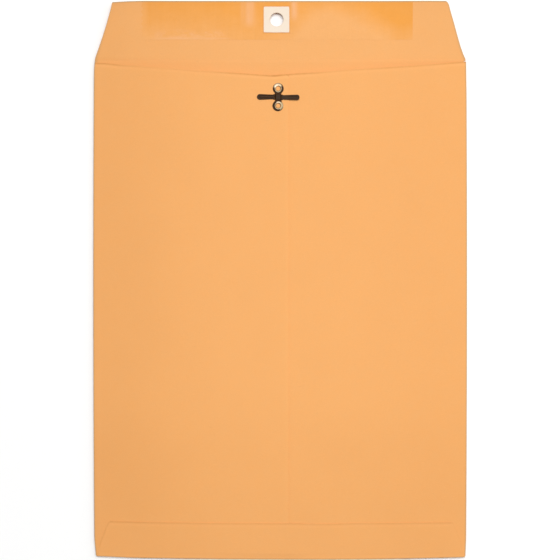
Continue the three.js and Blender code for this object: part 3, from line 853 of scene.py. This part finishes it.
LEFT_D = np.array([-1.2, 0.3, 1.4, 12.3, 14.7, 22.0, 30.4, 32.8, 34.0, 34.4, 34.7])
LEFT_X = np.array([-113.3, -113.0, -112.7, -109.0, -108.2, -105.9, -103.5, -102.9, -102.7, -102.55, -102.3])
RIGHT_D = np.array([-1.2, 0.3, 1.4, 2.6, 7.4, 14.7, 22.0, 30.4, 32.1, 32.7, 33.3, 34.0, 34.6, 35.0])
RIGHT_X = np.array([113.4, 113.1, 112.6, 112.0, 110.25, 108.1, 106.05, 103.55, 103.1, 102.9, 102.65, 102.3, 101.75, 101.0])
cols = front_last[:, 0]
s_rows = np.linspace(-0.9, 1.9, 23)
far = joined(spread(0, 0.86, 0.04), spread(0.86, 0.98, 0.01), spread(0.98, 1.0, 0.005))[1:]
grid = []
for s in list(s_rows) + [None] * len(far):
    k = len(grid)
    nominal = s if s is not None else 1.9 + (35.1 - 1.9) * far[k - len(s_rows)]
    a, b = np.interp(nominal, LEFT_D, LEFT_X), np.interp(nominal, RIGHT_D, RIGHT_X)
    if k == 0:
        a, b = cols[0], cols[-1]
    x = np.where(cols < -95, -95 + (cols + 95) * (a + 95) / (cols[0] + 95), np.where(cols > 95, 95 + (cols - 95) * (b - 95) / (cols[-1] - 95), cols))
    rise = AXIS_Z - flap_raise(x) - PAPER / 2
    meet = rise * TAN
    if s is not None:
        d = s - 2 * meet
        flat = np.stack([x, np.full_like(x, AXIS_Y + s), flap_raise(x) + PAPER / 2], -1)
        p = np.where((s <= meet)[:, None], flat, on_flap(x, d, PAPER / 2))
    else:
        d0 = 1.9 - 2 * meet
        d = d0 + (top_edge(x) - d0) * far[k - len(s_rows)]
        p = on_flap(x, d, PAPER / 2)
    p[:, 2] -= CREASE * bump(p[:, 1], FOLD_Y, 1.0)
    grid.append(p)
grid = np.array(grid)
grid[0] = front_last
flap = thick_sheet("seal_flap_paper", grid)
hole_at = on_flap(np.array([HOLE_X]), np.array([HOLE_D]), PAPER / 2)[0]
drill(flap, [tuple(hole_at)], HOLE_R, 96, axis=(0, -SIN, COS), length=4)


def flap_marks(obj):
    co = coords(obj) * 1000
    x, y, z = co.T
    d = (y - AXIS_Y) * COS + (z - AXIS_Z) * SIN
    edge = np.clip(np.where(x > 0, np.interp(d, RIGHT_D, RIGHT_X) - x, x - np.interp(d, LEFT_D, LEFT_X)), 0, None)
    top = np.clip(top_edge(x) - d, 0, None)
    # painted shade: darker towards both ends of the flap, along its side and top edges and in the crease, and grey
    # brown on the edges
    shade = (0.052 * sstep(-10, -100, x) + 0.027 * sstep(-82, -104, x) + 0.012 * sstep(30, 100, x)
             + 0.04 * np.exp(-edge / 0.8) + 0.05 * np.exp(-top / 0.8) + crease_painted_shade(x, y))
    store(obj, "shade", shade)
    store(obj, "worn", 0.8 * np.maximum(0.6 * np.exp(-(edge / 0.4) ** 2), 1.2 * np.exp(-(top / 0.5) ** 2)))


flap_marks(flap)
place(flap, None, kraft_flap, ["seal_flap"])
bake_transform(flap)

# gum film
gx = joined(spread(-84.3, PATCH_X - PATCH_S / 2 - 0.15, 1.1), [PATCH_X - PATCH_S / 2 - 0.15], spread(PATCH_X - PATCH_S / 2 - 0.15, PATCH_X + PATCH_S / 2 + 0.15, 1.6),
            spread(PATCH_X + PATCH_S / 2 + 0.15, 81.0, 1.1))
gd = joined(spread(11.7, PATCH_D - PATCH_S / 2 - 0.15, 0.8), spread(PATCH_D - PATCH_S / 2 - 0.15, PATCH_D + PATCH_S / 2 + 0.15, 1.1),
            spread(PATCH_D + PATCH_S / 2 + 0.15, 34.75, 0.8))
X, D = np.meshgrid(gx, gd)
keep = ~((np.abs((X[:-1, :-1] + X[1:, 1:]) / 2 - PATCH_X) < PATCH_S / 2) & (np.abs((D[:-1, :-1] + D[1:, 1:]) / 2 - PATCH_D) < PATCH_S / 2))
edge_soft = sstep(0, 0.8, np.minimum(np.minimum(X - gx[0], gx[-1] - X), np.minimum(D - gd[0], gd[-1] - D)))
above = PAPER + 0.05 + 0.025 + 0.012 * edge_soft
X2 = X + np.where(X == gx[0], 0.5 * np.sin(D * 1.7) + 0.25 * np.sin(D * 4.1), 0)
D2 = D + np.where(D == gd[0], 0.10 * np.sin(X * 0.61) + 0.06 * np.sin(X * 1.9), 0)
gum = thick_sheet("dried_gum_film", on_flap(X2, D2, above), 0.05, keep)


def flap_coords(obj):
    """(x, distance from the axis) of each point of a piece on the flap."""
    co = coords(obj) * 1000
    y, z = co[:, 1] - AXIS_Y, co[:, 2] - AXIS_Z
    return np.stack([co[:, 0], y * COS + z * SIN, np.zeros(len(co))], -1) / 1000


def gum_depth_and_sheen(x, d):
    """The brush left the film deepest at the top edge; it thins towards the fold. Right of the patch it thins soonest,
    a painted sheen where the glossy gum would catch the light.
    """
    knots = [-80, -40, -30, -12, 8, 20, 30, 42, 55, 63, 72, 80]
    start = np.interp(x, knots, [13, 12, 7, 4, 11, 23, 27, 22, 15.5, 10.5, 4.5, 6])
    run = np.interp(x, knots, [21, 22, 26, 27, 24, 16, 14, 16, 17.5, 18, 18, 18])
    even = np.interp(x, [-20, 20], [0.6, 1])
    return np.clip((d - start) / run, 0, 1) ** even * np.interp(x, [-20, 20], [0.90, 1])


on_gum = flap_coords(gum)
store(gum, "on_flap", on_gum)
store(gum, "gum_depth_and_sheen", gum_depth_and_sheen(on_gum[:, 0] * 1000, on_gum[:, 1] * 1000))
flap_marks(gum)
place(gum, "flap", gum_mat, ["flap_gum_strip"])

# patch: from the round hole out to the slightly uneven square
ANG = 128
ang = np.linspace(0, 2 * math.pi, ANG, endpoint=False) + math.pi / ANG
wall = []
for a in ang:
    c, s = math.cos(a), math.sin(a)
    h = PATCH_S / 2
    ox, oy = PATCH_X - HOLE_X, PATCH_D - HOLE_D
    tx = ((h if c > 0 else -h) + ox) / c if abs(c) > 1e-9 else 1e9
    ty = ((h if s > 0 else -h) + oy) / s if abs(s) > 1e-9 else 1e9
    wall.append(min(tx, ty))
wall = np.array(wall)
corner_round = 0.12 * np.exp(-((np.abs(np.abs(((ang % (math.pi / 2)) - math.pi / 4))) / 0.05) ** 2))
wall = wall - corner_round + 0.035 * np.sin(ang * 7 + 0.6) + 0.02 * np.sin(ang * 23)
rad = joined([0, 0.03], spread(0.03, 0.9, 0.12), [0.95, 1.0])
P = np.zeros((len(rad), ANG + 1, 3))
for j, f in enumerate(rad):
    r = HOLE_R - 0.02 + (wall - (HOLE_R - 0.02)) * f
    x, d = HOLE_X + r * np.cos(ang), HOLE_D + r * np.sin(ang)
    lift = PAPER + 0.05 + 0.075 + 0.03 * sstep(6.5, 10.5, np.hypot(x - PATCH_X, d - PATCH_D)) - 0.02 * sstep(0.06, 0, f)
    q = on_flap(x, d, lift)
    P[j, :-1], P[j, -1] = q, q[0]
n, m = P.shape[0], ANG
nrm = np.array([0, -SIN, COS])
verts = np.concatenate([(P[:, :-1] + nrm * 0.075).reshape(-1, 3), (P[:, :-1] - nrm * 0.075).reshape(-1, 3)])
low, faces = n * m, []
for j in range(n - 1):
    for i in range(m):
        k = (i + 1) % m
        a, b, c, d = j * m + i, j * m + k, (j + 1) * m + k, (j + 1) * m + i
        faces += [(a, d, c, b), (a + low, b + low, c + low, d + low)]
for i in range(m):
    k = (i + 1) % m
    faces.append((i, k, k + low, i + low))
    faces.append(((n - 1) * m + i, (n - 1) * m + k, (n - 1) * m + k + low, (n - 1) * m + i + low))
patch = new_object("hole_patch_paper", verts, faces)
store(patch, "on_flap", flap_coords(patch))
place(patch, "flap", patch_mat, ["hole_patch"])

# ---- the seam's glue stays as packed -------------------------------------------------
seam_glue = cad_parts["seam_glue"]
seam_glue.data.materials.clear()
seam_glue.data.materials.append(glue_mat)

# ---- clasp ---------------------------------------------------------------------------
CLASP = np.array([CLASP_X, CLASP_Y, CLASP_Z])


def octagon(x, y):
    """Distance inside the hub's outline."""
    return -np.maximum(np.maximum(np.abs(x) - 1.78, np.abs(y) - 2.15), (np.abs(x) + np.abs(y) - 3.45) / math.sqrt(2))


LOBE = 3.32                      # radius of the two round lobes


def base_half(y, s):
    """Half width of the plate at y, on its left (s = -1) or right (s = 1)."""
    aside = 0.05 if y > 0 else -0.16
    y = abs(y)
    lobe = math.sqrt(max(0.04, LOBE ** 2 - (y - PITCH) ** 2)) + s * aside if y > PITCH - LOBE else 0.0
    arm = float(np.interp(y, [0, 1.95, 2.15, 2.6, 3.2], [1.88, 1.88, 2.1, 2.12, 2.0])) if y < 3.2 else 0.0
    return max(lobe, arm)


def base_rings():
    cap = PITCH + LOBE * np.sin(np.radians(np.linspace(0, 89.2, 26)))
    ys = joined(-cap[::-1], spread(-PITCH, -2.4, 0.12), spread(-2.4, 2.4, 0.08), spread(2.4, PITCH, 0.12), cap)
    rings = []
    for y in ys:
        wl, w = base_half(float(y), -1), base_half(float(y), 1)
        e = min(0.09, w * 0.5, wl * 0.5)
        inner = np.linspace(-(wl - e), w - e, 37)
        top = 0.25 + 0.43 * sstep(0.02, 0.52, octagon(inner, y)) + 0.05 * bump(np.hypot(inner / 1.2, y / 1.6), 0, 0.6)
        # a shallow dished centre with a raised collar
        top = top - 0.07 * bump(np.hypot(inner, y), 0, 0.55) * (abs(y) < 2)
        # soft pressed rib on each arm
        top = top + 0.05 * bump(inner, 0, 0.55) * sstep(2.2, 2.5, abs(y)) * sstep(3.6, 3.2, abs(y))
        phi = np.radians(np.linspace(75, 0, 5))
        right = np.stack([w - e + e * np.cos(phi), np.full(5, y), 0.25 - e + e * np.sin(phi)], -1)
        left = np.stack([-(wl - e) - e * np.cos(phi[::-1]), np.full(5, y), 0.25 - e + e * np.sin(phi[::-1])], -1)
        low = np.stack([np.linspace(w, -wl, 9), np.full(9, y), np.zeros(9)], -1)
        ring = np.concatenate([np.stack([inner, np.full(37, y), top], -1), right, low, left])
        rings.append(ring + CLASP)
    return rings


base = loft("clasp_base_plate", base_rings(), 50)
drill(base, [(CLASP_X, CLASP_Y + s * PITCH, CLASP_Z) for s in (1, -1)], 1.8, 48)
finish_mesh(base, 50)


def metal_marks(obj, fn):
    co = coords(obj) * 1000 - CLASP
    store(obj, "worn", np.clip(fn(co), 0, 1))


metal_marks(base, lambda c: 0.7 * sstep(0.35, 0.05, np.abs(np.abs(octagon(c[:, 0], c[:, 1])) - 0.1)) * (c[:, 2] > 0.24)
            + 0.5 * sstep(0.22, 0.05, LOBE - np.hypot(c[:, 0], np.abs(c[:, 1]) - PITCH)) * (np.abs(c[:, 1]) > PITCH - LOBE))
place(base, "envelope_body", dark_mat, ["clasp_base"])


def eyelet(name, side_y, shift, node, worn, painted_highlight):
    top, under = 0.28, -0.60
    rim = []
    for f in np.linspace(0, 1, 17)[1:-1]:
        r = 1.47 + (2.88 - 1.47) * f
        rim.append((r, top - 0.05 + 0.36 * math.sin(math.pi * f ** 0.72) ** 0.85 + 0.05 * f))
    profile = [(1.60, under - 0.06), (1.47, under + 0.12), (1.45, -0.2), (1.46, top - 0.10)] + rim + \
        [(2.90, top + 0.02), (2.82, top - 0.005), (1.66, top), (1.62, top - 0.08), (1.62, under)] + \
        [(2.3, under), (2.55, under - 0.03), (2.62, under - 0.10), (2.5, under - 0.17), (2.1, under - 0.19)]
    obj = lathe(name, profile, (CLASP_X, CLASP_Y + side_y * PITCH, CLASP_Z), 96, shift, 1.7, 2.9)
    co = coords(obj) * 1000 - CLASP
    a = np.stack([co[:, 0], co[:, 1] - side_y * PITCH], -1)
    r, turn = np.hypot(a[:, 0], a[:, 1]), np.degrees(np.arctan2(a[:, 1], a[:, 0]))
    store(obj, "worn", np.clip(worn(r, turn), 0, 1))
    store(obj, "painted_highlight", np.clip(painted_highlight(r, turn), 0, 1))
    return place(obj, "envelope_body", bright_mat, [node])


# Painted reflections on the eyelets: painted highlights on the crown of each rim and further out on one side, painted
# shade on the rest of the rim, and on the lower rim a band of painted shade at its top.
def rim_painted_shade_upper(r, turn):
    start = 2.4 - 0.4 * np.abs(np.cos(np.radians(turn)))
    return sstep(start - 0.12, start + 0.22, r) * (1 - sstep(22, 48, turn) * sstep(176, 158, turn))


def rim_painted_shade_lower(r, turn):
    start = 2.15 - 0.2 * np.abs(np.cos(np.radians(turn)))
    dark = sstep(start - 0.1, start + 0.22, r) * (1 - sstep(-74, -56, turn) * sstep(122, 100, turn))
    shaded = 0.9 * sstep(2.5, 2.75, r) * sstep(40, 60, turn) * sstep(150, 130, turn)
    return np.maximum(np.maximum(dark, shaded), 0.2 * sstep(2.6, 2.2, r) * bump(turn, 0, 35))


def painted_highlight_upper(r, turn):
    return 0.08 + (0.38 * sstep(42, 66, turn) + 0.54 * sstep(84, 112, turn)) * sstep(172, 148, turn)


def painted_highlight_lower(r, turn):
    return 0.08 + 0.5 * sstep(45, 80, turn) * sstep(150, 120, turn)


eyelet("eyelet_upper_rolled", 1, (0.05, 0.22), "clasp_eyelet_upper", rim_painted_shade_upper, painted_highlight_upper)
eyelet("eyelet_lower_rolled", -1, (0.25, 0.0), "clasp_eyelet_lower", rim_painted_shade_lower, painted_highlight_lower)

for name, s, node in (("paper_disc_in_upper", 1, "paper_disc_upper"), ("paper_disc_in_lower", -1, "paper_disc_lower")):
    prof = [(0.25, -0.515), (1.2, -0.50), (1.34, -0.46), (1.36, -0.30), (1.35, -0.16), (1.22, -0.085), (0.9, -0.06), (0.5, -0.05), (0.2, -0.05)]
    disc = lathe(name, prof, (CLASP_X, CLASP_Y + s * PITCH, CLASP_Z), 48, closed=False)
    n_v = len(disc.data.vertices)
    store(disc, "worn", np.zeros(n_v))
    store(disc, "shade", np.zeros(n_v))
    place(disc, "envelope_body", kraft_out, [node])


def prong(name, node, body, sign, length, tilt, dy, half, tip, emboss):
    """Blade pointing away from its bend line: rounded edges, pressed pattern, barrel root."""
    total, rho, centre = length - 2.2, 0.11, (sign * 2.2, dy, 0.30)
    tip_s = total - tip + tip * np.sin(np.radians(np.linspace(0, 89, 22)))
    st = joined([-0.279, -0.26, -0.22, -0.16, -0.08], spread(0, 1.4, 0.1), spread(1.4, total - tip, 0.12), tip_s)
    rings = []
    for s in st:
        w = float(np.interp(s, half[0], half[1]))
        if s > total - tip:
            edge = float(np.interp(total - tip, half[0], half[1]))
            t = (s - (total - tip)) / tip
            w = (edge - tip) + tip * math.sqrt(max(0.0, 1 - t * t)) if edge > tip else edge * math.sqrt(max(0.0002, 1 - t * t))
            w = max(0.02, w)
        h = 0.15
        if s < 0.28:
            h = max(0.02, math.sqrt(max(0.0, 0.28 ** 2 - s * s)))
            h = max(h, 0.15 * float(sstep(-0.05, 0.2, s)))
        h_top = h
        e = min(rho, w * 0.9)
        inner = np.linspace(-(w - e), w - e, 33)
        top = h_top + emboss(s, inner) * float(sstep(0.4, 1.0, s))
        phi = np.radians(np.linspace(72, -72, 7))
        right = np.stack([np.full(7, s), w - e + e * np.cos(phi), h_top * np.sin(phi)], -1)
        low_y = np.linspace(w - e, -(w - e), 13)
        low = np.stack([np.full(13, s), low_y, np.full(13, -h)], -1)
        left = np.stack([np.full(7, s), -(w - e) - e * np.cos(phi), -h_top * np.sin(phi)], -1)
        rings.append(np.concatenate([np.stack([np.full(33, s), inner, top], -1), right, low, left]))
    rings = np.array(rings)
    ct, sn = math.cos(math.radians(tilt)), math.sin(math.radians(tilt))
    s, y, z = rings[..., 0], rings[..., 1], rings[..., 2]
    s, z = s * ct - z * sn, s * sn + z * ct
    world = np.stack([sign * s, sign * y, z], -1) + np.array(centre) + CLASP
    obj = loft(name, world, 45)
    co = coords(obj) * 1000 - CLASP - np.array(centre)
    ls, ly, lz = co[:, 0] * sign, co[:, 1] * sign, co[:, 2]
    w = np.interp(ls, half[0], half[1])
    edge_wear_and_shade = 0.75 * sstep(0.30, 0.08, w - np.abs(ly)) + 0.75 * sstep(0.35, 0.08, total - ls)
    store(obj, "worn", np.clip(edge_wear_and_shade + 0.25 * sstep(0.5, 0.1, np.abs(ly)) * (sign < 0), 0, 1))
    return place(obj, body, dark_mat, [node])


def emboss_left(s, y):
    """Two grooves that meet in a U before the tip, and a raised band between them."""
    end = 8.55
    along = np.clip(s, None, end)
    r = np.hypot(s - along, y)
    return -0.10 * np.exp(-((r - 0.76) / 0.17) ** 2) + 0.045 * sstep(0.62, 0.3, r)


def emboss_right(s, y):
    """A sunk channel with rounded ends."""
    along = np.clip(s, 4.6, 8.6)
    r = np.hypot(s - along, y)
    return -0.11 * sstep(0.80, 0.52, r)


prong("clasp_prong_left_blade", "clasp_prong_left", "prong_left", -1, 12.9, 0.0, 0.15,
      ([-0.3, 0, 0.6, 1.1, 2.2, 5.5, 8.2, 10.0, 10.8], [1.75, 1.75, 1.62, 1.46, 1.45, 1.60, 1.72, 1.77, 1.77]), 1.72, emboss_left)
prong("clasp_prong_right_blade", "clasp_prong_right", "prong_right", 1, 12.95, 2.0, -0.15,
      ([-0.3, 0, 0.6, 1.1, 2.2, 5.5, 8.2, 10.6], [1.75, 1.75, 1.58, 1.40, 1.43, 1.55, 1.62, 1.62]), 1.25, emboss_right)

# ---- floor, light, camera ------------------------------------------------------------
bm = bmesh.new()
bmesh.ops.create_grid(bm, x_segments=2, y_segments=2, size=4.0)
floor_mesh = bpy.data.meshes.new("floor")
bm.to_mesh(floor_mesh)
bm.free()
floor = bpy.data.objects.new("floor", floor_mesh)
floor.location = (0, 0, -0.00003)
bpy.context.scene.collection.objects.link(floor)
g = Graph("floor")
g.bsdf.inputs["Base Color"].default_value = (0.93, 0.93, 0.925, 1)
set_plain(g.bsdf, rough=0.9, spec=0.1)
floor.data.materials.append(g.material)


def aim(obj, at):
    obj.rotation_euler = (Vector(at) - obj.location).to_track_quat("-Z", "Y").to_euler()


def area(name, at, toward, size, power, colour=(1, 1, 1)):
    light = bpy.data.lights.new(name, "AREA")
    light.shape, light.size, light.size_y, light.energy, light.color = "RECTANGLE", size[0], size[1], power, colour
    obj = bpy.data.objects.new(name, light)
    obj.location = at
    aim(obj, toward)
    bpy.context.scene.collection.objects.link(obj)
    return obj


sun = bpy.data.lights.new("soft_top", "SUN")
sun.energy, sun.angle = 2.45, math.radians(42)
sun_obj = bpy.data.objects.new("soft_top", sun)
sun_obj.location = (0.12, 0.40, 1.9)
aim(sun_obj, (0, 0, 0))
bpy.context.scene.collection.objects.link(sun_obj)
area("softbox_top_right", (0.35, 0.95, 1.75), (0, 0, 0), (1.6, 1.1), 9.0)
area("softbox_right", (0.95, 0.25, 0.75), (0, 0, 0), (0.7, 0.9), 2.6)

world = bpy.data.worlds.new("studio")
bpy.context.scene.world = world
world.use_nodes = True
wt = world.node_tree
wt.nodes.clear()
w_out = wt.nodes.new("ShaderNodeOutputWorld")
w_fill = wt.nodes.new("ShaderNodeBackground")
w_back = wt.nodes.new("ShaderNodeBackground")
w_mix = wt.nodes.new("ShaderNodeMixShader")
w_path = wt.nodes.new("ShaderNodeLightPath")
w_fill.inputs[0].default_value, w_fill.inputs[1].default_value = (1, 1, 1, 1), 0.10
w_back.inputs[0].default_value, w_back.inputs[1].default_value = (1, 1, 1, 1), 0.95
wt.links.new(w_path.outputs["Is Camera Ray"], w_mix.inputs[0])
wt.links.new(w_fill.outputs[0], w_mix.inputs[1])
wt.links.new(w_back.outputs[0], w_mix.inputs[2])
wt.links.new(w_mix.outputs[0], w_out.inputs[0])

cam = bpy.data.cameras.new("camera")
cam.type, cam.lens, cam.sensor_width = "PERSP", 100, 36
cam.clip_start, cam.clip_end = 0.01, 50
camera = bpy.data.objects.new("camera", cam)
camera.location = (-0.00008, -0.00014, 0.0026 + 0.3421 * 100 / 36)
camera.rotation_euler = (0, 0, 0)
bpy.context.scene.collection.objects.link(camera)
bpy.context.scene.camera = camera
bpy.context.scene.view_settings.view_transform = "Standard"
